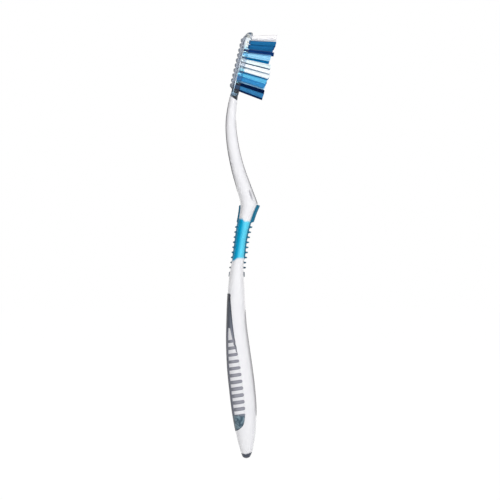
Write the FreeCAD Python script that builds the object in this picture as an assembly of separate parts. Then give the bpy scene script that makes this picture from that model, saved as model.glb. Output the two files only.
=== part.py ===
"""Adult manual toothbrush: a moulded handle, a clear tufted head and soft rubber grips.

The frame has +Z from the handle's end to the head, +X to the bristle side and Y across.
The origin is the lowest point of the handle's end. All lengths are millimetres.
"""
import FreeCAD, Part

import math
import os

V = FreeCAD.Vector

# Lengths along the brush
HANDLE_LENGTH = 113.2
NECK_LENGTH = 47.2
HEAD_LENGTH = 29.8
BRISTLE_LENGTH = 11.5

# Sizes across, front to back and side to side
PALM_DEPTH = 11.6
PALM_WIDTH = 13.8
CREST_DEPTH = 7.66
CREST_WIDTH = 10.8
NECK_DEPTH = 4.65
NECK_WIDTH = 5.9
NECK_SWEEP = 6.9

# Head
HEAD_WIDTH = 12.4
HEAD_TILT_DEGREES = 13.54
PLATE_THICKNESS = 3.4
PLATE_EDGE_ROUND = 0.7
HEAD_ARCS = 14

# A cut runs past what it cuts by this much
OVERRUN = 20.0

# A slice is a rounded oval of short sides. A power over 2 makes its corners fuller
OVAL_POWER = 2.35
OVAL_SIDES = 36

# Handle slices from its end up to the thumb crest: height as a share of HANDLE_LENGTH, centre
# as a share of NECK_SWEEP, depth as a share of PALM_DEPTH, width as a share of PALM_WIDTH
HANDLE_SLICE_SHARES = (
    (0.0000, 0.000, 0.170, 0.150),
    (0.0070, 0.004, 0.290, 0.275),
    (0.0240, 0.009, 0.430, 0.420),
    (0.0486, -0.003, 0.560, 0.545),
    (0.0883, -0.026, 0.720, 0.680),
    (0.1352, -0.074, 0.856, 0.815),
    (0.1979, -0.148, 0.967, 0.930),
    (0.2739, -0.265, 1.002, 0.993),
    (0.3534, -0.407, 0.985, 1.000),
    (0.4496, -0.549, 0.890, 0.964),
    (0.5300, -0.627, 0.780, 0.906),
    (0.6500, -0.652, 0.660, 0.802),
    (0.7365, -0.610, 0.540, 0.743),
    (0.8039, -0.470, 0.450, 0.725),
    (0.8587, -0.352, 0.442, 0.725),
    (0.9099, -0.200, 0.482, 0.739),
    (0.9630, 0.020, 0.555, 0.765),
)

# Neck slices from the crest up to the head: height as a share of NECK_LENGTH, centre as a
# share of NECK_SWEEP, then the shares of the crest's extra depth and extra width that remain
NECK_SLICE_SHARES = (
    (0.000, 0.168, 1.000, 1.000),
    (0.038, 0.113, 0.954, 0.960),
    (0.098, -0.020, 0.854, 0.857),
    (0.193, -0.232, 0.700, 0.653),
    (0.292, -0.455, 0.560, 0.449),
    (0.398, -0.652, 0.410, 0.286),
    (0.525, -0.835, 0.270, 0.143),
    (0.674, -0.968, 0.120, 0.041),
    (0.792, -0.991, -0.020, 0.000),
    (0.886, -0.938, -0.145, 0.012),
    (1.000, -0.816, -0.312, 0.080),
)

# The neck runs on inside the head for this height, leaning with it
NECK_RUN_IN = 5.0
RUN_IN_DEPTH_SHARE = 0.8
RUN_IN_WIDTH_SHARE = 1.25

# The white handle ends this far below the head, on a slope that is higher at the back
COLLAR_BELOW_ROOT = 1.3
COLLAR_RISE = 2.2
# The clear head's tongue runs down inside the white neck, between walls of these thicknesses
TONGUE_LENGTH = 35.1
NECK_WALL = 1.15
NECK_SIDE_WALL = 1.35

# Thumb pad on the front: a smooth block below the crest, nine ribs and a foot strip
THUMB_PAD_WIDTH_SHARE = 0.75
THUMB_PAD_BELOW_CREST = 0.3
THUMB_PAD_SINK = 1.3
THUMB_PAD_PROUD = 0.3
THUMB_BLOCK_PROUD = 1.3
THUMB_BLOCK_LENGTH = 8.2
THUMB_RIB_PROUD = 1.25
THUMB_FOOT_PROUD = 0.8

# Finger pad on the back, lower in relief
FINGER_PAD_WIDTH_SHARE = 0.71
FINGER_PAD_BELOW_CREST = 0.4
FINGER_PAD_SINK = 1.1
FINGER_PAD_PROUD = 0.2
FINGER_BLOCK_PROUD = 0.5
FINGER_BLOCK_LENGTH = 8.0
FINGER_RIB_PROUD = 0.75
FINGER_FOOT_PROUD = 0.6

# Ribs on both pads
RIB_COUNT = 9
RIB_PITCH = 2.25
RIB_THICKNESS = 0.75
RIB_SIDE_MARGIN = 0.6
RIB_TO_FOOT = 1.3
FOOT_LENGTH = 2.6

# Coloured bands let into the sides between the two pads
BAND_FLOOR_SHARE = 0.83
BAND_MARGIN = 1.2
BAND_BELOW_CREST = 6.0
BAND_TOP_FALL = 1.1
BAND_LENGTH = 19.6
BAND_BOTTOM_RISE = 2.0

# Palm grip: it covers the back and both sides up to a front edge, round a core that is a share
# of the slice. Each row of the edge has a height as a share of the grip's length and how far the
# edge lies from the back as a share of the depth
PALM_GRIP_ABOVE_CAP = 10.1
PALM_GRIP_BELOW_PAD = 6.45
PALM_CORE_SHARE = 0.64
PALM_EDGE_SHARES = (
    (0.000, -0.100),
    (0.012, 0.170),
    (0.040, 0.430),
    (0.090, 0.530),
    (0.180, 0.560),
    (0.403, 0.550),
    (0.506, 0.518),
    (0.668, 0.400),
    (0.856, 0.270),
    (0.965, 0.190),
    (1.000, -0.100),
)
# Rungs stand between shallow windows in each side of the palm grip. The top one is pointed
RUNG_PITCH = 3.02
RUNG_THICKNESS = 1.45
RUNG_START = 6.4
RUNG_LEAN_DEGREES = 9.0
WINDOW_BELOW_TOP = 15.8
TOP_WINDOW_LENGTH = 5.5
WINDOW_DEPTH = 0.4
WINDOW_BACK_SHARE = 0.14
WINDOW_FRONT_RIM_SHARE = 0.10

# End cap and the peg that plugs it into the handle
END_CAP_HEIGHT = 2.5
PEG_DIAMETER = 2.4
PEG_LENGTH = 6.0

# Outline of the head's face from its heel to its tip: height as a share of HEAD_LENGTH and
# half width as a share of HEAD_WIDTH
HEAD_OUTLINE_SHARES = (
    (0.020, 0.000),
    (0.050, 0.220),
    (0.150, 0.430),
    (0.330, 0.497),
    (0.560, 0.500),
    (0.760, 0.462),
    (0.910, 0.330),
    (1.000, 0.000),
)

# Tufts: rows from the heel to the tip, four tufts to a row. A tuft has flat sides and flares
# from the foot of its hole to its cut end. Leans are from the face's normal to the tip
TUFT_SIDES = 8
TUFT_DIAMETER_SHARE = 0.704
TUFT_FLARE_SHARE = 1.25
TUFT_HOLE_DEPTH = 2.6
HEEL_ROWS = 2
TUFT_ROW_START = 4.1
OUTER_TUFT_RIM = 1.8
INNER_COLUMN_SHARE = 0.34
TUFT_LENGTH_SHARES = (0.93, 0.94, 0.915, 0.915, 1.0, 0.974, 0.94, 0.87, 0.963, 0.87, 0.948)
TUFT_LEANS_DEGREES = (-6.5, -4.6, -3.7, -3.1, -2.4, -1.6, 0.2, 3.6, 6.6, 8.3, 9.9)

# The tip tuft is one wide block
TIP_TUFT_RIM = 2.6
TIP_TUFT_GAP = 2.5
TIP_TUFT_WIDTH = 5.4
TIP_TUFT_DEPTH = 2.3
TIP_TUFT_CORNER = 0.7
TIP_TUFT_LENGTH_SHARE = 0.948
TIP_TUFT_LEAN_DEGREES = 13.4

# Flat wire that holds each folded tuft down in its hole
ANCHOR_HEIGHT = 1.0
ANCHOR_THICKNESS = 0.3
ANCHOR_LIFT = 0.45

# Tongue cleaner: a soft pad let into the back of the head, with short ridges
CLEANER_BOTTOM = 6.4
CLEANER_TOP_RIM = 2.0
CLEANER_SIDE_RIM = 1.4
CLEANER_THICKNESS = 0.75
CLEANER_SINK = 0.35
RIDGE_PITCH = 2.25
RIDGE_COLUMNS = 3
RIDGE_SPACING_SHARE = 0.28
RIDGE_LENGTH_SHARE = 0.23
RIDGE_BASE = 1.1
RIDGE_TOP = 0.5
RIDGE_HEIGHT = 0.65


def slices():
    """Every slice as height, centre, depth and width, from the end up into the head."""
    rows = [
        (h * HANDLE_LENGTH, c * NECK_SWEEP, d * PALM_DEPTH, w * PALM_WIDTH)
        for h, c, d, w in HANDLE_SLICE_SHARES
    ]
    for h, c, d, w in NECK_SLICE_SHARES:
        depth = NECK_DEPTH + d * (CREST_DEPTH - NECK_DEPTH)
        width = NECK_WIDTH + w * (CREST_WIDTH - NECK_WIDTH)
        rows.append((HANDLE_LENGTH + h * NECK_LENGTH, c * NECK_SWEEP, depth, width))
    height, centre, depth, width = rows[-1]
    shift = NECK_RUN_IN * math.tan(math.radians(HEAD_TILT_DEGREES))
    last = (height + NECK_RUN_IN, centre + shift, depth * RUN_IN_DEPTH_SHARE, width * RUN_IN_WIDTH_SHARE)
    return rows + [last]


def pad_length(block_length):
    """A pad is as long as its block, its ribs and its foot strip together."""
    return block_length + RIB_COUNT * RIB_PITCH + RIB_TO_FOOT + FOOT_LENGTH


SLICES = slices()
ROOT_HEIGHT = HANDLE_LENGTH + NECK_LENGTH
COLLAR_FRONT = ROOT_HEIGHT - COLLAR_BELOW_ROOT
THUMB_PAD_TOP = HANDLE_LENGTH - THUMB_PAD_BELOW_CREST
THUMB_PAD_BOTTOM = THUMB_PAD_TOP - pad_length(THUMB_BLOCK_LENGTH)
FINGER_PAD_TOP = HANDLE_LENGTH - FINGER_PAD_BELOW_CREST
FINGER_PAD_BOTTOM = FINGER_PAD_TOP - pad_length(FINGER_BLOCK_LENGTH)
BAND_TOP = HANDLE_LENGTH - BAND_BELOW_CREST
PALM_GRIP_BOTTOM = END_CAP_HEIGHT + PALM_GRIP_ABOVE_CAP
PALM_GRIP_TOP = FINGER_PAD_BOTTOM - PALM_GRIP_BELOW_PAD
PALM_GRIP_LENGTH = PALM_GRIP_TOP - PALM_GRIP_BOTTOM
RUNG_BOTTOM = PALM_GRIP_BOTTOM + RUNG_START
WINDOW_TOP = PALM_GRIP_TOP - WINDOW_BELOW_TOP
TIP_TUFT_PLACE = HEAD_LENGTH - TIP_TUFT_RIM
TUFT_ROW_PITCH = (TIP_TUFT_PLACE - TIP_TUFT_GAP - TUFT_ROW_START) / (len(TUFT_LENGTH_SHARES) - 1)
TUFT_DIAMETER = TUFT_DIAMETER_SHARE * TUFT_ROW_PITCH


def slice_at(height):
    """The slice at any height, on the straight wall between its two neighbours."""
    for low, high in zip(SLICES, SLICES[1:]):
        if height <= high[0]:
            break
    t = (height - low[0]) / (high[0] - low[0])
    return tuple(a + t * (b - a) for a, b in zip(low, high))


def back_at(height):
    row = slice_at(height)
    return row[1] - row[2] / 2


def front_at(height):
    row = slice_at(height)
    return row[1] + row[2] / 2


def across_at(height, share):
    """A place between the back, at 0, and the front, at 1."""
    return back_at(height) + share * slice_at(height)[2]


def oval(height, centre, depth, width, grow):
    """One level slice as a ring of short sides, grown outwards by grow."""
    points = []
    for k in range(OVAL_SIDES):
        turn = 2 * math.pi * k / OVAL_SIDES
        x = math.copysign(abs(math.cos(turn)) ** (2 / OVAL_POWER), math.cos(turn))
        y = math.copysign(abs(math.sin(turn)) ** (2 / OVAL_POWER), math.sin(turn))
        points.append(V(centre + x * (depth / 2 + grow), y * (width / 2 + grow), height))
    return Part.makePolygon(points + points[:1])


def form(grow, low, high):
    """The handle's form between two heights, grown outwards by grow."""
    rows = [slice_at(low)] + [s for s in SLICES if low < s[0] < high] + [slice_at(high)]
    return Part.makeLoft([oval(*row, grow) for row in rows], True, True)


def side_prism(points):
    """Everything inside a closed outline of the side view."""
    outline = Part.makePolygon([V(x, -OVERRUN, z) for x, z in points + points[:1]])
    return Part.Face(outline).extrude(V(0, 2 * OVERRUN, 0))


def front_prism(points):
    """Everything inside a closed outline of the front view."""
    outline = Part.makePolygon([V(-OVERRUN, y, z) for y, z in points + points[:1]])
    return Part.Face(outline).extrude(V(2 * OVERRUN, 0, 0))


def slab(low, high):
    """Everything between two heights."""
    box = Part.makeBox(2 * OVERRUN, 2 * OVERRUN, high - low)
    return box.translate(V(-OVERRUN, -OVERRUN, low))


def heights_between(low, high):
    return [low] + [s[0] for s in SLICES if low < s[0] < high] + [high]


def pad_outline(low, high, width, margin):
    """A strip with cut corners, as the front view shows each pad."""
    half = width / 2 - margin
    corner = width / 4
    right = [(half, low + corner), (half, high - corner), (half - corner, high)]
    left = [(-y, z) for y, z in reversed(right)]
    return front_prism([(half - corner, low)] + right + left + [(corner - half, low)])


def pad_space(low, high, width, sink, side):
    """The pocket that a pad fills. side is 1 for the front of the handle and -1 for its back."""
    edge = front_at if side > 0 else back_at
    floor = [(edge(z) - side * sink, z) for z in heights_between(low, high)]
    outside = [(side * OVERRUN, high), (side * OVERRUN, low)]
    return pad_outline(low, high, width, 0).common(side_prism(floor + outside))


def pad(space, low, high, width, levels):
    """A pad that fills its pocket: a thin base, a block at its top, ribs and a foot strip."""
    base, block, block_length, rib, foot = levels
    reach = RIB_PITCH
    layers = [form(base, low - reach, high + reach)]
    raised = [
        (block, slab(high - block_length, high + reach)),
        (foot, slab(low - reach, low + FOOT_LENGTH)),
    ]
    for k in range(RIB_COUNT):
        top = high - block_length - (k + 1) * RIB_PITCH + RIB_THICKNESS
        raised.append((rib, slab(top - RIB_THICKNESS, top)))
    grown = {}
    narrow = pad_outline(low, high, width, RIB_SIDE_MARGIN)
    for height, zone in raised:
        if height not in grown:
            grown[height] = form(height, low - reach, high + reach).common(narrow)
        layers.append(grown[height].common(zone))
    return layers[0].multiFuse(layers[1:]).common(space).removeSplitter()


def save(name, shape):
    shape.exportStep("parts/" + name + ".step")
    print(name, shape.isValid(), len(shape.Solids), round(shape.Volume, 2), len(shape.Faces))


def placed(shape):
    """Moves a shape from the head's own frame, with X off the face and Z up it, to its place."""
    turn = FreeCAD.Rotation(V(0, 1, 0), HEAD_TILT_DEGREES)
    spot = V(front_at(ROOT_HEIGHT), 0, ROOT_HEIGHT)
    moved = shape.copy()
    moved.Placement = FreeCAD.Placement(spot, turn) * shape.Placement
    return moved


def head_outline(inset, level):
    """The head's outline as a ring of arcs, drawn in by inset, at a level above its face."""
    right = [(z * HEAD_LENGTH, y * HEAD_WIDTH) for z, y in HEAD_OUTLINE_SHARES]
    left = [(z, -y) for z, y in reversed(right[1:-1])]
    curve = Part.BSplineCurve()
    curve.interpolate(Points=[V(0, y, z) for z, y in right + left], PeriodicFlag=True)
    narrower = 1 - 2 * inset / HEAD_WIDTH
    shorter = 1 - 2 * inset / HEAD_LENGTH
    middle = HEAD_LENGTH / 2
    points = [
        V(level, q.y * narrower, middle + (q.z - middle) * shorter)
        for q in curve.discretize(Number=2 * HEAD_ARCS + 1)
    ]
    return Part.Wire([Part.Arc(*points[k:k + 3]).toShape() for k in range(0, 2 * HEAD_ARCS, 2)])


def half_width_at(place):
    """Half the head's width at a height above its heel."""
    rows = [(z * HEAD_LENGTH, y * HEAD_WIDTH) for z, y in HEAD_OUTLINE_SHARES]
    for low, high in zip(rows, rows[1:]):
        if place <= high[0]:
            break
    return low[1] + (place - low[0]) / (high[0] - low[0]) * (high[1] - low[1])


def flat_ring(points, level):
    """A closed ring of straight sides, at a level above the head's face."""
    ring = [V(level, y, z) for y, z in points]
    return Part.makePolygon(ring + ring[:1])


def tuft_spread(level, length):
    """How much wider a tuft is at a level above the face than at the foot of its hole."""
    return 1 + (TUFT_FLARE_SHARE - 1) * (level + TUFT_HOLE_DEPTH) / (length + TUFT_HOLE_DEPTH)


def round_tuft(level, length):
    """A tuft's slice, with flat sides where the ends of its anchor bear."""
    radius = tuft_spread(level, length) * TUFT_DIAMETER / 2 / math.cos(math.pi / TUFT_SIDES)
    turns = [math.pi * (2 * k + 1) / TUFT_SIDES for k in range(TUFT_SIDES)]
    return flat_ring([(radius * math.cos(t), radius * math.sin(t)) for t in turns], level)


def wide_tuft(level, length):
    """The tip tuft's slice, a block with cut corners."""
    spread = tuft_spread(level, length)
    y = spread * TIP_TUFT_WIDTH / 2
    z = spread * TIP_TUFT_DEPTH / 2
    c = spread * TIP_TUFT_CORNER
    upper = [(y, z - c), (y - c, z), (c - y, z), (-y, z - c)]
    lower = [(-y, c - z), (c - y, -z), (y - c, -z), (y, c - z)]
    return flat_ring(upper + lower, level)


def tuft(slice_form, width, spot, lean_degrees, length):
    """A tuft, its hole and its anchor. The tuft folds under the anchor's flat wire."""
    foot = slice_form(-TUFT_HOLE_DEPTH, length)
    hole = Part.makeLoft([foot, slice_form(TUFT_HOLE_DEPTH, length)], True, True)
    bristles = Part.makeLoft([foot, slice_form(length, length)], True, True)
    anchor = Part.makeBox(ANCHOR_HEIGHT, width, ANCHOR_THICKNESS)
    anchor.translate(V(ANCHOR_LIFT - TUFT_HOLE_DEPTH, -width / 2, -ANCHOR_THICKNESS / 2))
    parts = [bristles.cut(anchor), hole, anchor]
    aside, place = spot
    for part in parts:
        part.rotate(V(0, 0, 0), V(0, 1, 0), -lean_degrees)
        part.translate(V(0, aside, place))
    return parts


def tuft_rows():
    """Every row of tufts from the heel to the tip, as lists of tuft, hole and anchor."""
    rows = []
    for k, (share, lean) in enumerate(zip(TUFT_LENGTH_SHARES, TUFT_LEANS_DEGREES)):
        place = TUFT_ROW_START + k * TUFT_ROW_PITCH
        outer = half_width_at(place) - OUTER_TUFT_RIM
        inner = outer * INNER_COLUMN_SHARE
        spots = [(outer, place), (inner, place - TUFT_ROW_PITCH / 2)]
        spots += [(-aside, height) for aside, height in spots]
        length = share * BRISTLE_LENGTH
        rows.append([tuft(round_tuft, TUFT_DIAMETER, spot, lean, length) for spot in spots])
    length = TIP_TUFT_LENGTH_SHARE * BRISTLE_LENGTH
    tip = tuft(wide_tuft, TIP_TUFT_WIDTH, (0, TIP_TUFT_PLACE), TIP_TUFT_LEAN_DEGREES, length)
    return rows + [[tip]]


def cleaner():
    """The tongue cleaner's pad and its rows of short ridges, on the back of the head."""
    back = -PLATE_THICKNESS
    half = HEAD_WIDTH / 2 - CLEANER_SIDE_RIM
    top = HEAD_LENGTH - CLEANER_TOP_RIM
    right = [(half, CLEANER_BOTTOM + half / 2), (half, top - half), (half / 2, top)]
    left = [(-y, z) for y, z in reversed(right)]
    points = [(half / 2, CLEANER_BOTTOM)] + right + left + [(-half / 2, CLEANER_BOTTOM)]
    thickness = CLEANER_SINK + CLEANER_THICKNESS
    base = Part.Face(flat_ring(points, back + CLEANER_SINK)).extrude(V(-thickness, 0, 0))
    y = RIDGE_LENGTH_SHARE * half
    z = RIDGE_BASE / 2
    top_y = y - RIDGE_TOP / 2
    top_z = RIDGE_TOP / 2
    ridge = Part.makeWedge(-y, 0, -z, -top_z, -top_y, y, RIDGE_HEIGHT, z, top_z, top_y)
    ridge.rotate(V(0, 0, 0), V(0, 0, 1), 90)
    highest = top - half / 2 - RIDGE_BASE
    ridges = []
    for row in range(int((highest - CLEANER_BOTTOM - RIDGE_BASE) / RIDGE_PITCH) + 1):
        for column in range(RIDGE_COLUMNS):
            aside = (column - (RIDGE_COLUMNS - 1) / 2) * RIDGE_SPACING_SHARE * 2 * half
            spot = V(back - CLEANER_THICKNESS, aside, highest - row * RIDGE_PITCH)
            ridges.append(ridge.translated(spot))
    return base.multiFuse(ridges)


def palm_edge_share(height):
    """How far the palm grip's front edge lies from the back, as a share of the depth."""
    rows = [(PALM_GRIP_BOTTOM + z * PALM_GRIP_LENGTH, share) for z, share in PALM_EDGE_SHARES]
    for low, high in zip(rows, rows[1:]):
        if height <= high[0]:
            break
    return low[1] + (height - low[0]) / (high[0] - low[0]) * (high[1] - low[1])


def palm_space():
    """The pocket that the palm grip fills: the back and both sides, over a plain core."""
    low = PALM_GRIP_BOTTOM
    high = PALM_GRIP_TOP
    rows = [(low + z * PALM_GRIP_LENGTH, share) for z, share in PALM_EDGE_SHARES]
    edge = [(across_at(z, share), z) for z, share in rows]
    region = side_prism(edge + [(-OVERRUN, high), (-OVERRUN, low)])
    levels = heights_between(low / 2, high + PALM_GRIP_BELOW_PAD)
    back = [(across_at(z, (1 - PALM_CORE_SHARE) / 2), z) for z in levels]
    side_core = side_prism(back + [(OVERRUN, levels[-1]), (OVERRUN, levels[0])])
    right = [(slice_at(z)[3] / 2 * PALM_CORE_SHARE, z) for z in levels]
    core = side_core.common(front_prism(right + [(-y, z) for y, z in reversed(right)]))
    return region.cut(core)


def rung_windows():
    """The shallow windows between the rungs, in both sides of the palm grip."""
    levels = heights_between(RUNG_BOTTOM, WINDOW_TOP)
    back = [(across_at(z, WINDOW_BACK_SHARE), z) for z in levels]
    front = [(across_at(z, palm_edge_share(z) - WINDOW_FRONT_RIM_SHARE), z) for z in levels]
    panel = side_prism(back + front[::-1])
    slope = math.tan(math.radians(RUNG_LEAN_DEGREES))
    rung_count = int((WINDOW_TOP - TOP_WINDOW_LENGTH - RUNG_BOTTOM) / RUNG_PITCH) + 1
    gaps = []
    for k in range(rung_count):
        low = RUNG_BOTTOM + k * RUNG_PITCH + RUNG_THICKNESS / 2
        high = low + RUNG_PITCH - RUNG_THICKNESS
        if k == rung_count - 1:
            high = WINDOW_TOP + RUNG_PITCH
        middle = across_at(low, 1 / 2)
        fall = (OVERRUN + middle) * slope
        rise = (OVERRUN - middle) * slope
        bottom = [(-OVERRUN, low - fall), (OVERRUN, low + rise)]
        top = [(OVERRUN, high + rise), (-OVERRUN, high - fall)]
        gaps.append(panel.common(side_prism(bottom + top)))
    floor = form(-WINDOW_DEPTH, RUNG_BOTTOM - RUNG_PITCH, WINDOW_TOP + RUNG_PITCH)
    return Part.makeCompound(gaps).cut(floor)


def band_space():
    """The pockets of the two side bands, between the pads."""
    low = BAND_TOP - BAND_LENGTH
    levels = heights_between(low, BAND_TOP)
    back = [(back_at(z) + BAND_MARGIN, z) for z in levels]
    front_top = BAND_TOP - BAND_TOP_FALL
    front_levels = heights_between(low + BAND_BOTTOM_RISE, front_top)
    front = [(front_at(z) - BAND_MARGIN, z) for z in front_levels]
    region = side_prism(back + front[::-1])
    right = [(slice_at(z)[3] / 2 * BAND_FLOOR_SHARE, z) for z in levels]
    return region.cut(front_prism(right + [(-y, z) for y, z in reversed(right)]))


def above_collar():
    """Everything above the sloping end of the white handle."""
    front = front_at(COLLAR_FRONT)
    slope = COLLAR_RISE / (front - back_at(COLLAR_FRONT + COLLAR_RISE))
    ends = [(x, COLLAR_FRONT + (front - x) * slope) for x in (OVERRUN, -OVERRUN)]
    top = ROOT_HEIGHT + NECK_RUN_IN + OVERRUN
    return side_prism(ends + [(-OVERRUN, top), (OVERRUN, top)])


def tongue():
    """The clear tongue inside the white neck."""
    levels = heights_between(COLLAR_FRONT - TONGUE_LENGTH, ROOT_HEIGHT)
    back = [(back_at(z) + NECK_WALL, z) for z in levels]
    front = [(front_at(z) - NECK_WALL, z) for z in levels]
    side = NECK_WIDTH / 2 - NECK_SIDE_WALL
    right = [(side, levels[0]), (side, levels[-1])]
    across = front_prism(right + [(-y, z) for y, z in reversed(right)])
    return side_prism(back + front[::-1]).common(across)


def head_plate():
    """The head's plate, with both rims rounded off in two steps."""
    r = PLATE_EDGE_ROUND
    step = r * (1 - math.sqrt(1 / 2))
    front = [(r, 0), (step, -step), (0, -r)]
    back = [(inset, -PLATE_THICKNESS - level) for inset, level in reversed(front)]
    return Part.makeLoft([head_outline(*ring) for ring in front + back], True, True)


if __name__ == "__main__":
    os.makedirs("parts", exist_ok=True)
    body = form(0, 0, ROOT_HEIGHT + NECK_RUN_IN)
    collar = above_collar()
    cap_zone = slab(-OVERRUN, END_CAP_HEIGHT)
    peg = Part.makeCylinder(PEG_DIAMETER / 2, PEG_LENGTH, V(0, 0, END_CAP_HEIGHT))
    thumb_width = THUMB_PAD_WIDTH_SHARE * slice_at(THUMB_PAD_BOTTOM)[3]
    thumb_strip = (THUMB_PAD_BOTTOM, THUMB_PAD_TOP, thumb_width)
    thumb_space = pad_space(*thumb_strip, THUMB_PAD_SINK, 1)
    finger_width = FINGER_PAD_WIDTH_SHARE * slice_at(FINGER_PAD_BOTTOM)[3]
    finger_strip = (FINGER_PAD_BOTTOM, FINGER_PAD_TOP, finger_width)
    finger_space = pad_space(*finger_strip, FINGER_PAD_SINK, -1)
    bands = band_space()
    palm = palm_space()

    white = body.cut([collar, cap_zone, peg, tongue(), thumb_space, finger_space, bands, palm])
    save("white_handle", white)
    save("end_cap", body.common(cap_zone).fuse(peg))
    thumb_block = (THUMB_BLOCK_PROUD, THUMB_BLOCK_LENGTH)
    thumb_levels = (THUMB_PAD_PROUD, *thumb_block, THUMB_RIB_PROUD, THUMB_FOOT_PROUD)
    save("thumb_pad", pad(thumb_space, *thumb_strip, thumb_levels))
    finger_block = (FINGER_BLOCK_PROUD, FINGER_BLOCK_LENGTH)
    finger_levels = (FINGER_PAD_PROUD, *finger_block, FINGER_RIB_PROUD, FINGER_FOOT_PROUD)
    save("finger_pad", pad(finger_space, *finger_strip, finger_levels))
    save("side_bands", body.common(bands))
    save("palm_grip", body.common(palm).cut(rung_windows()))

    rows = tuft_rows()
    holes = [hole for row in rows for bristles, hole, anchor in row]
    anchors = [placed(anchor) for row in rows for bristles, hole, anchor in row]
    tongue_cleaner = cleaner()
    plate = placed(head_plate().cut(holes + [tongue_cleaner]))
    heel_holes = [placed(hole) for row in rows[:HEEL_ROWS] for bristles, hole, anchor in row]
    root = body.common(collar).cut(heel_holes)
    save("clear_head", plate.multiFuse([root, tongue()]))
    save("tongue_cleaner", placed(tongue_cleaner))
    for k, row in enumerate(rows[:-1]):
        tufts = [placed(bristles) for bristles, hole, anchor in row]
        save("tuft_row_%02d" % (k + 1), Part.makeCompound(tufts))
    save("tip_tuft", placed(rows[-1][0][0]))
    save("tuft_anchors", Part.makeCompound(anchors))
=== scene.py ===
import math
import random

import bmesh
import bpy
from mathutils import Matrix, Vector


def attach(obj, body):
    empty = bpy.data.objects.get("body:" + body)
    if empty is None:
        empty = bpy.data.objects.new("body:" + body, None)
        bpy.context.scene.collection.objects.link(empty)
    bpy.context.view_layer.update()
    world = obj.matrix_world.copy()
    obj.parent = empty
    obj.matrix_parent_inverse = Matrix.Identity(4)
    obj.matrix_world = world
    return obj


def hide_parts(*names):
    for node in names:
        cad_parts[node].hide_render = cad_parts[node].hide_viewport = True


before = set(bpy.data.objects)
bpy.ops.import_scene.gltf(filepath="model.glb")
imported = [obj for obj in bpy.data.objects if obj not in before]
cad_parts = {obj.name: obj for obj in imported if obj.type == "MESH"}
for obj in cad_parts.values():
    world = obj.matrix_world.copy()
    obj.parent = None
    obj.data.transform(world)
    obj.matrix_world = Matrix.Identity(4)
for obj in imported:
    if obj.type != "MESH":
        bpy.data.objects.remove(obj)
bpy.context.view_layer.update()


# The white handle. The real one is a single glossy moulding of stiff white plastic, swept back
# below the head and forward again at the thumb crest, with shallow pockets in its skin that the
# softer grips are moulded into. Lengths here are millimetres until a mesh is finished.
MM = 0.001
HANDLE_LENGTH = 113.2
NECK_LENGTH = 47.2
ROOT_HEIGHT = HANDLE_LENGTH + NECK_LENGTH
PALM_DEPTH = 11.6
PALM_WIDTH = 13.8
CREST_DEPTH = 7.66
CREST_WIDTH = 10.8
NECK_DEPTH = 4.65
NECK_WIDTH = 5.9
NECK_SWEEP = 6.9
OVAL_POWER = 2.35
# Height as a share of the handle, centre of the sweep, depth and width of the palm
HANDLE_SHARES = (
    (0.0000, 0.000, 0.170, 0.150),
    (0.0070, 0.004, 0.290, 0.275),
    (0.0240, 0.009, 0.430, 0.420),
    (0.0486, -0.003, 0.560, 0.545),
    (0.0883, -0.026, 0.720, 0.680),
    (0.1352, -0.074, 0.856, 0.815),
    (0.1979, -0.148, 0.967, 0.930),
    (0.2739, -0.265, 1.002, 0.993),
    (0.3534, -0.407, 0.985, 1.000),
    (0.4496, -0.549, 0.890, 0.964),
    (0.5300, -0.627, 0.780, 0.906),
    (0.6500, -0.652, 0.660, 0.802),
    (0.7365, -0.610, 0.540, 0.743),
    (0.8039, -0.470, 0.450, 0.725),
    (0.8587, -0.352, 0.442, 0.725),
    (0.9099, -0.200, 0.482, 0.739),
    (0.9630, 0.020, 0.555, 0.765),
)
# Height as a share of the neck, centre of the sweep, then what is left of the crest's extra
NECK_SHARES = (
    (0.000, 0.168, 1.000, 1.000),
    (0.038, 0.113, 0.954, 0.960),
    (0.098, -0.020, 0.854, 0.857),
    (0.193, -0.232, 0.700, 0.653),
    (0.292, -0.455, 0.560, 0.449),
    (0.398, -0.652, 0.410, 0.286),
    (0.525, -0.835, 0.270, 0.143),
    (0.674, -0.968, 0.120, 0.041),
    (0.792, -0.991, -0.020, 0.000),
    (0.886, -0.938, -0.145, 0.012),
    (1.000, -0.816, -0.312, 0.080),
)
SLICES = [
    (h * HANDLE_LENGTH, c * NECK_SWEEP, d * PALM_DEPTH, w * PALM_WIDTH)
    for h, c, d, w in HANDLE_SHARES
]
for h, c, d, w in NECK_SHARES:
    depth = NECK_DEPTH + d * (CREST_DEPTH - NECK_DEPTH)
    width = NECK_WIDTH + w * (CREST_WIDTH - NECK_WIDTH)
    SLICES.append((HANDLE_LENGTH + h * NECK_LENGTH, c * NECK_SWEEP, depth, width))
# The neck's line runs on inside the head for this height, leaning with it
HEAD_TILT = math.radians(13.54)
RUN_IN = 5.0
RUN_IN_DEPTH_SHARE = 0.8
RUN_IN_WIDTH_SHARE = 1.25
height, centre, depth, width = SLICES[-1]
depth *= RUN_IN_DEPTH_SHARE
width *= RUN_IN_WIDTH_SHARE
SLICES.append((height + RUN_IN, centre + RUN_IN * math.tan(HEAD_TILT), depth, width))


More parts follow.
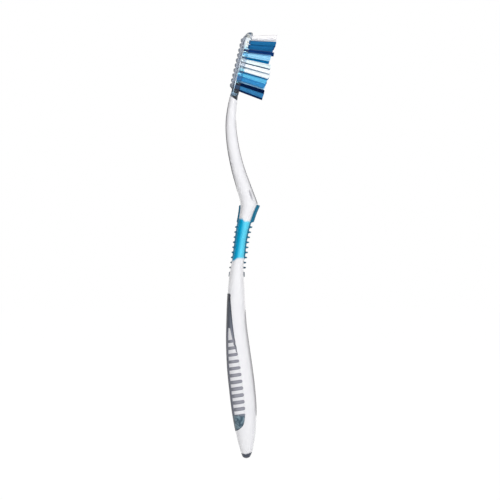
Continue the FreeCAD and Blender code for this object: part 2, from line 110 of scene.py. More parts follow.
def along(rows, z):
    """The values of a table's row at any height, on a smooth curve through its rows."""
    k = 0
    while k < len(rows) - 2 and z > rows[k + 1][0]:
        k += 1
    low, high = rows[k], rows[k + 1]
    before, after = rows[max(k - 1, 0)], rows[min(k + 2, len(rows) - 1)]
    gap = high[0] - low[0]
    t = (z - low[0]) / gap
    found = []
    for i in range(1, len(low)):
        rise_low = (high[i] - before[i]) / (high[0] - before[0]) * gap
        rise_high = (after[i] - low[i]) / (after[0] - low[0]) * gap
        start = low[i] * (1 + 2 * t) * (1 - t) ** 2 + rise_low * t * (1 - t) ** 2
        end = high[i] * (3 - 2 * t) * t ** 2 - rise_high * (1 - t) * t ** 2
        found.append(start + end)
    return found


def signed_power(value, power):
    return math.copysign(abs(value) ** power, value)


def skin(z, turn, grow=0.0):
    """A point of the handle's skin. turn is 0 at the front and pi at the back."""
    centre, depth, width = along(SLICES, z)
    x = centre + signed_power(math.cos(turn), 2 / OVAL_POWER) * (depth / 2 + grow)
    y = signed_power(math.sin(turn), 2 / OVAL_POWER) * (width / 2 + grow)
    return Vector((x, y, z))


def soft_step(value, low, high):
    """0 below low, 1 above high and smooth between them."""
    t = min(max((value - low) / (high - low), 0.0), 1.0)
    return t * t * (3 - 2 * t)


def rolled_edge(distance, radius):
    """How far a surface drops towards its edge, as a quarter round of that radius."""
    inside = min(max(distance / radius, 0.0), 1.0)
    return radius * (1 - math.sqrt(1 - (1 - inside) ** 2))


def mapped_grid(rows, columns, place, *masks):
    """A grid whose corners are moved to place(share along, share across), with any masks."""
    bm = bmesh.new()
    bmesh.ops.create_grid(bm, x_segments=columns, y_segments=rows, size=1)
    layers = [bm.verts.layers.float.new(mask) for mask in masks]
    for v in bm.verts:
        found = place((v.co.y + 1) / 2, (v.co.x + 1) / 2)
        if not masks:
            v.co = found
            continue
        v.co = found[0]
        for layer, value in zip(layers, found[1:]):
            v[layer] = value
    return bm


WELD_DISTANCE = 0.0004


def weld(bm):
    """Closes a mesh's seam and poles and turns its faces outwards."""
    bmesh.ops.remove_doubles(bm, verts=bm.verts, dist=WELD_DISTANCE)
    bmesh.ops.recalc_face_normals(bm, faces=bm.faces)


def close_ends(bm):
    """Fills the open rims of a tube and turns its faces outwards."""
    bmesh.ops.holes_fill(bm, edges=[e for e in bm.edges if e.is_boundary])
    bmesh.ops.recalc_face_normals(bm, faces=bm.faces)


def piece(name, bm, material, node, sharp_degrees=50):
    """Finishes a mesh made in millimetres as one piece of the brush."""
    bmesh.ops.remove_doubles(bm, verts=bm.verts, dist=WELD_DISTANCE)
    bmesh.ops.dissolve_degenerate(bm, edges=bm.edges, dist=WELD_DISTANCE)
    bmesh.ops.recalc_face_normals(bm, faces=bm.faces)
    bmesh.ops.scale(bm, vec=(MM, MM, MM), verts=bm.verts)
    mesh = bpy.data.meshes.new(name)
    bm.to_mesh(mesh)
    bm.free()
    mesh.shade_smooth()
    mesh.set_sharp_from_angle(angle=math.radians(sharp_degrees))
    mesh.materials.append(material)
    made = bpy.data.objects.new(name, mesh)
    bpy.context.scene.collection.objects.link(made)
    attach(made, "root")
    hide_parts(node)
    return made


def feed(tree, node, inputs):
    """Sets a node's inputs by name or number, each to a plain value or to another socket."""
    for name, value in inputs.items():
        if isinstance(value, bpy.types.NodeSocket):
            tree.links.new(value, node.inputs[name])
        else:
            node.inputs[name].default_value = value


def add(tree, kind, inputs=None, **settings):
    """A new node with its settings and inputs."""
    made = tree.nodes.new(kind)
    for name, value in settings.items():
        setattr(made, name, value)
    feed(tree, made, inputs or {})
    return made


def blend(tree, factor, first, second):
    """A colour between two others, each a value or a socket."""
    return add(tree, "ShaderNodeMix", {0: factor, 6: first, 7: second}, data_type="RGBA").outputs[2]


def remap(tree, value, low, high, to_low=0.0, to_high=1.0):
    """to_low where the value is under low, to_high where it is over high, smooth between."""
    ends = {"Value": value, "From Min": low, "From Max": high, "To Min": to_low, "To Max": to_high}
    return add(tree, "ShaderNodeMapRange", ends, interpolation_type="SMOOTHSTEP").outputs["Result"]


def fade(tree, place, span):
    """0 before a span of millimetres and 1 past it. place is a coordinate in metres."""
    return remap(tree, place, span[0] * MM, span[1] * MM)


def mask(tree, name):
    """A value that the mesh carries at its corners."""
    return add(tree, "ShaderNodeAttribute", attribute_name=name).outputs["Fac"]


def object_place(tree):
    return add(tree, "ShaderNodeTexCoord").outputs["Object"]


def axes_of(tree, place):
    return add(tree, "ShaderNodeSeparateXYZ", {"Vector": place}).outputs


def noise(tree, per_metre, detail, distortion=0.0):
    """Cloudy variation from 0 to 1 that is fixed to the brush."""
    clouds = {"Scale": per_metre, "Detail": detail, "Distortion": distortion}
    return add(tree, "ShaderNodeTexNoise", {"Vector": object_place(tree), **clouds}).outputs["Fac"]


def srgb(red, green, blue):
    """A colour as it looks, from 0 to 255, turned into the linear values that a shader takes."""
    shares = (red / 255, green / 255, blue / 255)
    return tuple(s / 12.92 if s <= 0.04045 else ((s + 0.055) / 1.055) ** 2.4 for s in shares) + (1.0,)


MOTTLES_PER_METRE = 160.0


def moulded_surface():
    """The skin of moulded plastic or rubber: faint mottling, uneven gloss and a fine grain."""
    group = bpy.data.node_groups.new("moulded_surface", "ShaderNodeTree")
    sockets = group.interface
    for name, kind, value in (
        ("Colour", "NodeSocketColor", (0.8, 0.8, 0.8, 1)),
        ("Mottle Colour", "NodeSocketColor", (0.7, 0.7, 0.7, 1)),
        ("Mottle", "NodeSocketFloat", 0.3),
        ("Grain Size", "NodeSocketFloat", 0.0004),
        ("Grain Height", "NodeSocketFloat", 0.00001),
        ("Low Roughness", "NodeSocketFloat", 0.2),
        ("High Roughness", "NodeSocketFloat", 0.3),
    ):
        sockets.new_socket(name, in_out="INPUT", socket_type=kind).default_value = value
    sockets.new_socket("Colour", in_out="OUTPUT", socket_type="NodeSocketColor")
    sockets.new_socket("Roughness", in_out="OUTPUT", socket_type="NodeSocketFloat")
    sockets.new_socket("Normal", in_out="OUTPUT", socket_type="NodeSocketVector")
    start = group.nodes.new("NodeGroupInput").outputs
    clouds = remap(group, noise(group, MOTTLES_PER_METRE, 3.0), 0.35, 0.7)
    mottle = add(group, "ShaderNodeMath", {0: clouds, 1: start["Mottle"]}, operation="MULTIPLY")
    colour = blend(group, mottle.outputs["Value"], start["Colour"], start["Mottle Colour"])
    per_metre = add(group, "ShaderNodeMath", {0: 1.0, 1: start["Grain Size"]}, operation="DIVIDE")
    grain = noise(group, per_metre.outputs["Value"], 2.0)
    ends = {"Value": grain, "To Min": start["Low Roughness"], "To Max": start["High Roughness"]}
    gloss = add(group, "ShaderNodeMapRange", ends).outputs["Result"]
    relief = {"Strength": 1.0, "Distance": start["Grain Height"], "Height": grain}
    normal = add(group, "ShaderNodeBump", relief).outputs["Normal"]
    add(group, "NodeGroupOutput", {"Colour": colour, "Roughness": gloss, "Normal": normal})
    return group


MOULDED_SURFACE = moulded_surface()


def new_material(name):
    """A new material, its node tree and its shader."""
    material = bpy.data.materials.new(name)
    material.use_nodes = True
    return material, material.node_tree, material.node_tree.nodes["Principled BSDF"]


def moulded(name, colour, mottle_colour, mottle, grain, gloss, shader):
    """A plastic or rubber.

    colour is a value or a function that builds it from the tree, grain is its size and height
    in millimetres, gloss is the lowest and highest roughness, and shader holds plain values.
    """
    material, tree, principled = new_material(name)
    finish = {
        "Colour": colour(tree) if callable(colour) else colour,
        "Mottle Colour": mottle_colour,
        "Mottle": mottle,
        "Grain Size": grain[0] * MM,
        "Grain Height": grain[1] * MM,
        "Low Roughness": gloss[0],
        "High Roughness": gloss[1],
    }
    surface = add(tree, "ShaderNodeGroup", finish, node_tree=MOULDED_SURFACE).outputs
    feed(tree, principled, {"Base Color": surface["Colour"], "Roughness": surface["Roughness"]})
    feed(tree, principled, {"Normal": surface["Normal"], **shader})
    return material


# Where the soft grips lie on the handle. The handle's pockets and the grips share these sizes
THUMB_PAD_SPAN = (80.55, 112.9)
FINGER_PAD_SPAN = (80.65, 112.8)
# Height, half width of the thumb pad and half width of the finger pad
PAD_HALF_WIDTHS = (
    (80.5, 1.9, 1.8),
    (86.0, 2.2, 2.0),
    (90.0, 2.8, 2.4),
    (94.0, 3.2, 2.7),
    (102.0, 3.2, 2.7),
    (106.0, 2.9, 2.5),
    (113.0, 2.4, 2.1),
)
PALM_SPAN = (12.6, 74.2)
# Height along the palm grip and how far its front edge is from the back, as shares. A share
# under zero is behind the back, where there is no grip
NO_GRIP_SHARE = -0.1
PALM_EDGE_SHARES = (
    (0.000, NO_GRIP_SHARE),
    (0.012, 0.170),
    (0.040, 0.430),
    (0.090, 0.530),
    (0.180, 0.560),
    (0.403, 0.550),
    (0.506, 0.518),
    (0.668, 0.400),
    (0.856, 0.270),
    (0.965, 0.190),
    (0.988, 0.170),
    (1.000, NO_GRIP_SHARE),
)
POCKET_DEPTH = 0.35
POCKET_WALL = (0.25, 0.75)


def pad_half_width(z, side):
    """Half a pad's width. side is 1 for the thumb pad and -1 for the finger pad."""
    return along(PAD_HALF_WIDTHS, z)[(1 - side) // 2]


def palm_edge(z):
    """How far the palm grip's front edge is from the back, as a share of the slice."""
    share = (z - PALM_SPAN[0]) / (PALM_SPAN[1] - PALM_SPAN[0])
    if not 0 <= share <= 1:
        return NO_GRIP_SHARE
    return along(PALM_EDGE_SHARES, share)[0]


def inside_soft_part(point, turn):
    """How far inside a soft part's outline a point of the skin lies, in millimetres."""
    centre, depth, width = along(SLICES, point.z)
    share = (point.x - centre) / depth + 0.5
    margins = [(palm_edge(point.z) - share) * depth]
    for span, side in ((THUMB_PAD_SPAN, 1), (FINGER_PAD_SPAN, -1)):
        if math.cos(turn) * side > 0:
            half = pad_half_width(point.z, side)
            margins.append(min(half - abs(point.y), point.z - span[0], span[1] - point.z))
    return max(margins)


CREASE_ENDS = ((1.35, 119.6), (2.9, 114.6))
CREASE_DEPTH = 0.28
CREASE_HALF_WIDTH = 0.72


def crease_sink(point):
    """The short soft crease that runs down each side to the thumb crest."""
    (x0, z0), (x1, z1) = CREASE_ENDS
    run = Vector((x1 - x0, z1 - z0))
    off = Vector((point.x - x0, point.z - z0))
    share = off.dot(run) / run.length_squared
    if not 0 < share < 1:
        return 0.0
    across = (off - run * share).length / CREASE_HALF_WIDTH
    return CREASE_DEPTH * (1 - soft_step(across, 0.0, 1.0)) * math.sin(math.pi * share) ** 0.5


CAP_SIDE_HEIGHT = 2.0
CAP_END_RISE = 0.62
CAP_FRONT_RISE = 0.25
# The handle and its cap are both rounded off this much where they meet
CAP_GROOVE_ROUND = 0.15


def cap_height(turn):
    """The height of the end cap's rim, which rises to the front and the back."""
    return CAP_SIDE_HEIGHT + CAP_END_RISE * math.cos(turn) ** 2 + CAP_FRONT_RISE * math.cos(turn)


HANDLE_ROWS = 420
HANDLE_COLUMNS = 128
HANDLE_TOP = 163.0


def handle_skin(share_along, share_across):
    turn = 2 * math.pi * share_across
    rim = cap_height(turn)
    z = rim + share_along * (HANDLE_TOP - rim)
    point = skin(z, turn)
    crease = crease_sink(point)
    sink = POCKET_DEPTH * soft_step(inside_soft_part(point, turn), *POCKET_WALL)
    sink += rolled_edge(z - rim, CAP_GROOVE_ROUND) + crease
    return skin(z, turn, -sink), crease / CREASE_DEPTH


COLLAR_FRONT = 159.1
COLLAR_RISE = 2.2
COLLAR_ROUND = 0.12


def cut_at_collar(bm, keep_below):
    """Cuts a mesh along the collar's slope and closes the cut."""
    front = skin(COLLAR_FRONT, 0)
    back = skin(COLLAR_FRONT + COLLAR_RISE, math.pi)
    slope = Vector((front.z - back.z, 0, back.x - front.x))
    up = slope if slope.z > 0 else -slope
    cut = bmesh.ops.bisect_plane(
        bm,
        geom=bm.verts[:] + bm.edges[:] + bm.faces[:],
        plane_co=front,
        plane_no=up if keep_below else -up,
        clear_outer=True,
    )
    rim = [e for e in cut["geom_cut"] if isinstance(e, bmesh.types.BMEdge)]
    bmesh.ops.holes_fill(bm, edges=rim)
    return rim


WHITE = srgb(243, 243, 245)


# The white plastic, with a painted shade that darkens it along the crease
def handle_colour_with_crease_shade(tree):
    return blend(tree, mask(tree, "crease"), WHITE, srgb(140, 140, 150))


# The crease mask holds the crease's depth, which also sets the painted shade in it
handle = mapped_grid(HANDLE_ROWS, HANDLE_COLUMNS, handle_skin, "crease")
weld(handle)
bmesh.ops.bevel(
    handle,
    geom=cut_at_collar(handle, keep_below=True),
    offset=COLLAR_ROUND,
    segments=3,
    profile=0.5,
    affect="EDGES",
    material=-1,
)
close_ends(handle)
white_plastic = moulded(
    "white_plastic",
    handle_colour_with_crease_shade,
    mottle_colour=srgb(236, 236, 240),
    mottle=0.5,
    grain=(0.5, 0.0012),
    gloss=(0.16, 0.24),
    shader={"IOR": 1.49, "Subsurface Weight": 0.12, "Subsurface Radius": (0.002, 0.002, 0.002),
            "Coat Weight": 1.0, "Coat Roughness": 0.04},
)
piece("handle_body", handle, white_plastic, "white_handle")


# The end cap. A small slate plug that closes the hole the mould's core leaves in the handle's
# end. It is pressed in, and its rim shows as a fine groove round the tip.
CAP_DOME = 0.6
CAP_ROWS = 40
CAP_ROW_CROWDING = 1.6


def cap_skin(share_along, share_across):
    turn = 2 * math.pi * share_across
    z = cap_height(turn) * share_along ** CAP_ROW_CROWDING
    dome = math.sqrt(1 - (1 - min(z / CAP_DOME, 1.0)) ** 2)
    centre = along(SLICES, z)[0]
    point = skin(z, turn, -rolled_edge(cap_height(turn) - z, CAP_GROOVE_ROUND))
    return Vector((centre + (point.x - centre) * dome, point.y * dome, z))


cap = mapped_grid(CAP_ROWS, HANDLE_COLUMNS, cap_skin)
weld(cap)
close_ends(cap)
slate_plastic = moulded(
    "slate_plastic",
    srgb(60, 67, 84),
    mottle_colour=srgb(48, 55, 72),
    mottle=0.5,
    grain=(0.3, 0.002),
    gloss=(0.25, 0.38),
    shader={"IOR": 1.5, "Coat Weight": 0.2, "Coat Roughness": 0.1},
)
piece("end_cap_plug", cap, slate_plastic, "end_cap")


# The side bands. A blue gel is moulded into each side of the grip zone, between the pads. It is
# deeper towards the back, so it looks darker there, and it thins out to nothing at both ends.
BAND_SPAN = (87.3, 107.2)
BAND_SHARES = (0.045, 0.935)
BAND_TOP_FALL = 1.2
BAND_TOP_FALL_SHARES = (0.25, 0.55)
BAND_BOTTOM_RISE = 1.2
BAND_BOTTOM_RISE_SHARES = (0.1, 0.5)
BAND_PROUD = 0.03
BAND_FEATHER = 1.2
BAND_THICKNESS = 0.25
BAND_ROWS = 96
BAND_COLUMNS = 40
# The dark back of a band turns pale along a leaning line
BAND_LINE_LEAN = -0.165
BAND_LINE_SPAN = (-19.45, -17.45)


def turn_at_share(share):
    """The turn round the skin at a share of the depth, from 0 at the back to 1 at the front."""
    return math.acos(min(max(signed_power(2 * share - 1, OVAL_POWER / 2), -1.0), 1.0))


def band_skin(side):
    def place(share_along, share_across):
        share = BAND_SHARES[0] + share_across * (BAND_SHARES[1] - BAND_SHARES[0])
        low = BAND_SPAN[0] + BAND_BOTTOM_RISE * soft_step(share, *BAND_BOTTOM_RISE_SHARES)
        high = BAND_SPAN[1] - BAND_TOP_FALL * soft_step(share, *BAND_TOP_FALL_SHARES)
        z = low + share_along * (high - low)
        point = skin(z, turn_at_share(share) * side, BAND_PROUD)
        return point, min(z - low, high - z) / BAND_FEATHER
    return place


def band_colour(tree):
    axes = axes_of(tree, object_place(tree))
    terms = {0: axes["Z"], 1: BAND_LINE_LEAN, 2: axes["X"]}
    lean = add(tree, "ShaderNodeMath", terms, operation="MULTIPLY_ADD")
    front = fade(tree, lean.outputs["Value"], BAND_LINE_SPAN)
    gel = blend(tree, front, srgb(0, 162, 208), srgb(100, 220, 250))
    return blend(tree, remap(tree, mask(tree, "feather"), 0.0, 1.0), WHITE, gel)


def join(bm, other):
    """Moves another mesh into this one."""
    spare = bpy.data.meshes.new("spare")
    other.to_mesh(spare)
    other.free()
    bm.from_mesh(spare)
    bpy.data.meshes.remove(spare)


teal_gel = moulded(
    "teal_gel",
    band_colour,
    mottle_colour=srgb(10, 148, 190),
    mottle=0.1,
    grain=(0.6, 0.001),
    gloss=(0.12, 0.2),
    shader={"IOR": 1.4, "Specular IOR Level": 0.06},
)
bands = mapped_grid(BAND_ROWS, BAND_COLUMNS, band_skin(1), "feather")
join(bands, mapped_grid(BAND_ROWS, BAND_COLUMNS, band_skin(-1), "feather"))
bmesh.ops.recalc_face_normals(bands, faces=bands.faces)
bmesh.ops.solidify(bands, geom=bands.faces[:], thickness=BAND_THICKNESS)
piece("side_gel_bands", bands, teal_gel, "side_bands")


# The thumb and finger pads. Both are soft teal rubber, moulded over the front and the back of
# the grip zone: a smooth block at the top, nine thin ribs that stop the grip from slipping, and
# a low foot strip where the rubber ends.
RIB_PITCH = 2.25
RIB_THICKNESS = 0.78
RIB_COUNT = 9
FOOT_LENGTH = 2.6
# How far inside its edge each form starts to rise and is at its full height
BLOCK_WALL = (0.0, 0.55)
RIB_WALL = (-0.12, 0.16)
FOOT_WALL = (0.0, 0.4)
SIDE_WALL = (0.35, 1.1)
PAD_END_ROUND = 1.4
PAD_EDGE_ROUND = 0.3
PAD_EDGE_SINK = 2.2
# Below the bands a pad's base lies a little under the handle's skin
BASE_SINK = 0.15
BASE_SINK_SPAN = (87.0, 91.0)
PAD_THICKNESS = 0.5
PAD_ROWS = 400
PAD_COLUMNS = 44
# Heights of the base, the block, the ribs and the foot off the handle, and the block's length
THUMB_LEVELS = (0.3, 1.35, 1.35, 0.8, 8.2)
FINGER_LEVELS = (0.2, 0.55, 0.8, 0.6, 8.0)
# Where the rubber's tone changes: low on the pad, under the block, and up the block, where a painted
# highlight lightens it
PAD_DARK_SPAN = (84.0, 92.0)
BLOCK_START_SPAN = (103.5, 104.5)
BLOCK_HIGHLIGHT_SPAN = (107.5, 112.5)


def pad_height(z, span, levels):
    """How far a pad's middle stands off the handle at a height."""
    base, block, rib, foot, block_length = levels
    low, high = span
    block_low = high - block_length
    inside_block = min(z - block_low, high - z)
    height = base + (block - base) * soft_step(inside_block, *BLOCK_WALL)
    for k in range(RIB_COUNT):
        middle = block_low - (k + 1) * RIB_PITCH + RIB_THICKNESS / 2
        inside_rib = RIB_THICKNESS / 2 - abs(z - middle)
        height = max(height, base + (rib - base) * soft_step(inside_rib, *RIB_WALL))
    inside_foot = min(z - low, low + FOOT_LENGTH - z)
    return max(height, base + (foot - base) * soft_step(inside_foot, *FOOT_WALL))


def pad_skin(span, side, levels):
    base, _, rib, _, _ = levels

    def place(share_along, share_across):
        low, high = span
        z = low + share_along * (high - low)
        from_end = min(z - low, high - z)
        half = pad_half_width(z, side) - rolled_edge(from_end, PAD_END_ROUND)
        across = 2 * share_across - 1
        centre, depth, width = along(SLICES, z)
        y = across * half
        share = min(abs(y) / (width / 2), 1.0)
        x = (1 - share ** OVAL_POWER) ** (1 / OVAL_POWER) * depth / 2
        from_side = half * (1 - abs(across))
        raised = (pad_height(z, span, levels) - base) * soft_step(from_side, *SIDE_WALL)
        settled = (base + BASE_SINK) * (1 - soft_step(z, *BASE_SINK_SPAN))
        edge = PAD_EDGE_SINK * rolled_edge(min(from_side, from_end), PAD_EDGE_ROUND)
        grow = base + raised - settled - edge
        tip = min(raised / (rib - base), 1.0)
        return Vector((centre + side * (x + grow), y, z)), tip
    return place


def pad_colour(tree):
    height = axes_of(tree, object_place(tree))["Z"]
    # Up the block a painted highlight turns the teal paler
    block = blend(tree, fade(tree, height, BLOCK_HIGHLIGHT_SPAN), srgb(42, 112, 146), srgb(80, 132, 154))
    raised = blend(tree, fade(tree, height, BLOCK_START_SPAN), srgb(78, 118, 136), block)
    pad = blend(tree, remap(tree, mask(tree, "tip"), 0.3, 0.9), srgb(14, 112, 144), raised)
    return blend(tree, fade(tree, height, PAD_DARK_SPAN), srgb(54, 72, 88), pad)


def face_outwards(bm, side):
    """Turns an open skin's faces away from the brush. side is 1 at the front, -1 at the back."""
    bmesh.ops.recalc_face_normals(bm, faces=bm.faces)
    outer = max(bm.faces, key=lambda f: side * f.calc_center_median().x)
    if outer.normal.x * side < 0:
        bmesh.ops.reverse_faces(bm, faces=bm.faces)


teal_rubber = moulded(
    "teal_rubber",
    pad_colour,
    mottle_colour=srgb(30, 100, 130),
    mottle=0.35,
    grain=(0.16, 0.006),
    gloss=(0.42, 0.58),
    shader={"IOR": 1.4, "Specular IOR Level": 0.35, "Subsurface Weight": 0.1,
            "Subsurface Radius": (0.0005, 0.001, 0.001)},
)
for name, node, span, side, levels in (
    ("thumb_rest", "thumb_pad", THUMB_PAD_SPAN, 1, THUMB_LEVELS),
    ("finger_rest", "finger_pad", FINGER_PAD_SPAN, -1, FINGER_LEVELS),
):
    pad = mapped_grid(PAD_ROWS, PAD_COLUMNS, pad_skin(span, side, levels), "tip")
    face_outwards(pad, side)
    bmesh.ops.solidify(pad, geom=pad.faces[:], thickness=PAD_THICKNESS)
    piece(name, pad, teal_rubber, node)


# The palm grip. A smoky, half clear rubber is moulded over the back and both sides of the lower
# handle. Twelve leaning rungs stand between thin windows that the white handle shines through,
# and a cloudy teal foot closes it at the bottom.
RUNG_LEAN = math.tan(math.radians(9.0))
RUNG_BOTTOM = 19.5
RUNG_PITCH = 3.02
RUNG_THICKNESS = 1.1
RUNG_THINNING = 0.25
RUNG_THINNING_SPAN = (28.0, 48.0)
RUNG_COUNT = 12
WINDOW_TOP = 58.8
WINDOW_DEPTH = 0.45
WINDOW_WALL = (-0.15, 0.3)
# A shallow groove runs up the back beside the rim, and runs out below its top
GROOVE_WIDTH = 0.55
GROOVE_WALL = (-0.05, 0.2)
GROOVE_DEPTH_SHARE = 0.8
GROOVE_TOP = 34.0
GROOVE_RUN_OUT = 6.0
# Height, width of the rim along the back and width of the rim along the front
RIM_WIDTHS = (
    (19.0, 0.50, 0.10),
    (44.0, 0.45, 0.10),
    (48.0, 0.42, 0.45),
    (52.2, 0.42, 1.00),
    (58.4, 0.50, 1.50),
)
# The rubber is darkest in a line along its back, and along its front where no rung reaches it
BACK_LINE = (0.2, 0.5)
FRONT_LINE = (0.2, 0.9)
FRONT_LINE_SHARE = 0.8
FRONT_LINE_TOP_SPAN = (44.0, 50.0)
FRONT_LINE_FOOT_SPAN = (17.0, 19.5)
# The grip's colours are darker at its back edge and turn paler across this span
BACK_DARKENING_SPAN = (0.5, 2.8)
SCALLOP_SHARE = 0.012
PALM_PROUD = 0.08
PALM_EDGE_ROUND = 0.22
PALM_EDGE_SINK = 2.0
PALM_THICKNESS = 0.3
PALM_ROWS = 400
PALM_COLUMNS = 76
FOOT_TOP_SPAN = (18.5, 20.5)
SLATE_SPAN = (50.0, 59.0)
BLACK_SPAN = (69.0, 71.5)
SWIRLS_PER_METRE = 380.0


def palm_window(level, share, edge):
    """1 in the middle of a window and 0 on the rungs and rims."""
    rung = (level - RUNG_BOTTOM) / RUNG_PITCH
    nearest = min(max(round(rung), 0), RUNG_COUNT - 1)
    thickness = RUNG_THICKNESS - RUNG_THINNING * soft_step(level, *RUNG_THINNING_SPAN)
    off_rung = abs(rung - nearest) * RUNG_PITCH - thickness / 2
    depth = along(SLICES, level)[1]
    back_rim, front_rim = along(RIM_WIDTHS, min(max(level, RIM_WIDTHS[0][0]), WINDOW_TOP))
    off_back = share * depth - back_rim
    off_front = (edge - share) * depth - front_rim
    off_ends = min(level - RUNG_BOTTOM, WINDOW_TOP - level)
    window = soft_step(min(off_rung, off_back, off_front, off_ends), *WINDOW_WALL)
    groove = soft_step(min(off_back, back_rim + GROOVE_WIDTH - share * depth), *GROOVE_WALL)
    groove *= soft_step(GROOVE_TOP - level, 0.0, GROOVE_RUN_OUT) * soft_step(off_ends, 0.0, 1.0)
    return max(window, GROOVE_DEPTH_SHARE * groove)


def palm_skin(share_along, share_across):
    level = PALM_SPAN[0] + share_along * (PALM_SPAN[1] - PALM_SPAN[0])
    edge = max(palm_edge(level), 0.0)
    rung = (level - RUNG_BOTTOM) / RUNG_PITCH
    if 0 < rung < RUNG_COUNT - 1:
        edge += SCALLOP_SHARE * math.cos(2 * math.pi * rung)
    edge_turn = turn_at_share(edge)
    turn = edge_turn + share_across * 2 * (math.pi - edge_turn)
    depth = along(SLICES, level)[1]
    across = signed_power(math.cos(turn), 2 / OVAL_POWER) / 2
    share = across + 0.5
    z = level + across * depth * RUNG_LEAN
    window = palm_window(level, share, edge)
    back_line = 1 - soft_step(share * depth, *BACK_LINE)
    front_line = 1 - soft_step((edge - share) * depth, *FRONT_LINE)
    above = soft_step(level, *FRONT_LINE_TOP_SPAN)
    below = 1 - soft_step(level, *FRONT_LINE_FOOT_SPAN)
    rim = max(back_line, FRONT_LINE_SHARE * front_line * max(above, below))
    off_edge = min((edge - share) * depth, level - PALM_SPAN[0], PALM_SPAN[1] - level)
    grow = PALM_PROUD - PALM_EDGE_SINK * rolled_edge(off_edge, PALM_EDGE_ROUND)
    grow -= WINDOW_DEPTH * window
    return skin(z, turn, grow), window, rim, soft_step(share * depth, *BACK_DARKENING_SPAN)


def palm_colour(tree):
    window = mask(tree, "window")
    away = mask(tree, "away")
    height = axes_of(tree, object_place(tree))["Z"]
    rung = blend(tree, away, srgb(116, 118, 128), srgb(158, 159, 168))
    slate = blend(tree, away, srgb(58, 64, 76), srgb(134, 140, 152))
    ladder = blend(tree, fade(tree, height, SLATE_SPAN), rung, slate)
    body = blend(tree, fade(tree, height, BLACK_SPAN), ladder, srgb(8, 10, 14))
    cloud = remap(tree, noise(tree, SWIRLS_PER_METRE, 1.0, distortion=1.4), 0.4, 0.62)
    foot = blend(tree, cloud, srgb(70, 94, 108), srgb(132, 158, 170))
    solid = blend(tree, fade(tree, height, FOOT_TOP_SPAN), foot, body)
    edged = blend(tree, mask(tree, "rim"), solid, srgb(42, 47, 56))
    pane = blend(tree, away, srgb(166, 168, 180), srgb(200, 201, 211))
    shaded = blend(tree, remap(tree, window, 0.15, 0.5), edged, srgb(112, 114, 126))
    return blend(tree, remap(tree, window, 0.5, 0.95), shaded, pane)


grey_rubber = moulded(
    "grey_rubber",
    palm_colour,
    mottle_colour=srgb(96, 100, 114),
    mottle=0.25,
    grain=(0.2, 0.005),
    gloss=(0.3, 0.45),
    shader={"IOR": 1.4, "Specular IOR Level": 0.35},
)
palm = mapped_grid(PALM_ROWS, PALM_COLUMNS, palm_skin, "window", "rim", "away")
weld(palm)
face_outwards(palm, -1)
bmesh.ops.solidify(palm, geom=palm.faces[:], thickness=PALM_THICKNESS)
piece("palm_rubber", palm, grey_rubber, "palm_grip")


# The clear head. A smoky clear plastic plate with a short root that is moulded onto the white
# neck. The tufts' roots and their wire anchors show through it.
HEAD_LENGTH = 29.8
HEAD_WIDTH = 12.4
EGG_POWER = 2.6
EGG_ROOT = 2.3
EGG_TAPER = 0.05
PLATE_THICKNESS = 3.4
FRONT_ROUND = 0.8
BACK_ROUND = 0.35
RIM_STEPS = 5
MIDDLE_LEVELS = (-1.25, -1.7, -2.1, -2.5, -2.8)
# The back of the plate is rounded off at the tip by this much, from this height up
TIP_ROUND = 1.9
TIP_ROUND_START = 22.0
TIP_ROUND_POWER = 4
HEEL_SHARE = 0.02
FACE_FRAME = Matrix.Translation(skin(ROOT_HEIGHT, 0)) @ Matrix.Rotation(HEAD_TILT, 4, "Y")
OUTLINE_SEGMENTS = 96


def head_half_width(height):
    """Half the plate's width at a height above the root, an egg a little wider at its heel."""
    middle = height / HEAD_LENGTH * 2 - 1
    egg = max(1 - abs(middle) ** EGG_POWER, 0.0) ** (1 / EGG_ROOT)
    return egg * HEAD_WIDTH / 2 * (1 - EGG_TAPER * middle)


def plate_ring(inset, level):
    """Moves the corners of a round ring onto the plate's outline at a level above its face."""
    def place(v):
        turn = math.atan2(v.co.y, v.co.x) / math.pi
        height = HEEL_SHARE + (1 - HEEL_SHARE) * (1 - math.cos(math.pi * abs(turn))) / 2
        height *= HEAD_LENGTH
        half = head_half_width(height) * (1 - 2 * inset / HEAD_WIDTH)
        tip_drop = TIP_ROUND * abs(level / PLATE_THICKNESS) ** TIP_ROUND_POWER
        tip_drop *= soft_step(height, TIP_ROUND_START, HEAD_LENGTH)
        middle = HEAD_LENGTH / 2
        height = middle + (height - middle) * (1 - 2 * inset / HEAD_LENGTH) - tip_drop
        return Vector((level, math.copysign(half, turn), height))
    return place


def stacked_rings(rings):
    """A closed solid through rings that each start as one round ring of corners."""
    bm = bmesh.new()
    circle = bmesh.ops.create_circle(bm, cap_ends=False, segments=OUTLINE_SEGMENTS, radius=1)
    verts = circle["verts"]
    round_ring = [v.co.copy() for v in verts]
    edges = bm.edges[:]
    bmesh.ops.contextual_create(bm, geom=edges)
    for k, ring in enumerate(rings):
        if k:
            grown = bmesh.ops.extrude_edge_only(bm, edges=edges)["geom"]
            verts = [g for g in grown if isinstance(g, bmesh.types.BMVert)]
            edges = [g for g in grown if isinstance(g, bmesh.types.BMEdge)]
        for v, corner in zip(verts, round_ring):
            v.co = corner
            v.co = ring(v)
    bmesh.ops.contextual_create(bm, geom=edges)
    return bm


steps = [math.pi / 2 * k / RIM_STEPS for k in range(RIM_STEPS + 1)]
front_rim = [(FRONT_ROUND * (1 - math.sin(a)), -FRONT_ROUND * (1 - math.cos(a))) for a in steps]
back_rim = [(inset * BACK_ROUND / FRONT_ROUND, -PLATE_THICKNESS - level * BACK_ROUND / FRONT_ROUND)
            for inset, level in reversed(front_rim)]
middle_rings = [(0.0, level) for level in MIDDLE_LEVELS]
plate = stacked_rings([plate_ring(*ring) for ring in front_rim + middle_rings + back_rim])
bmesh.ops.transform(plate, matrix=FACE_FRAME, verts=plate.verts)

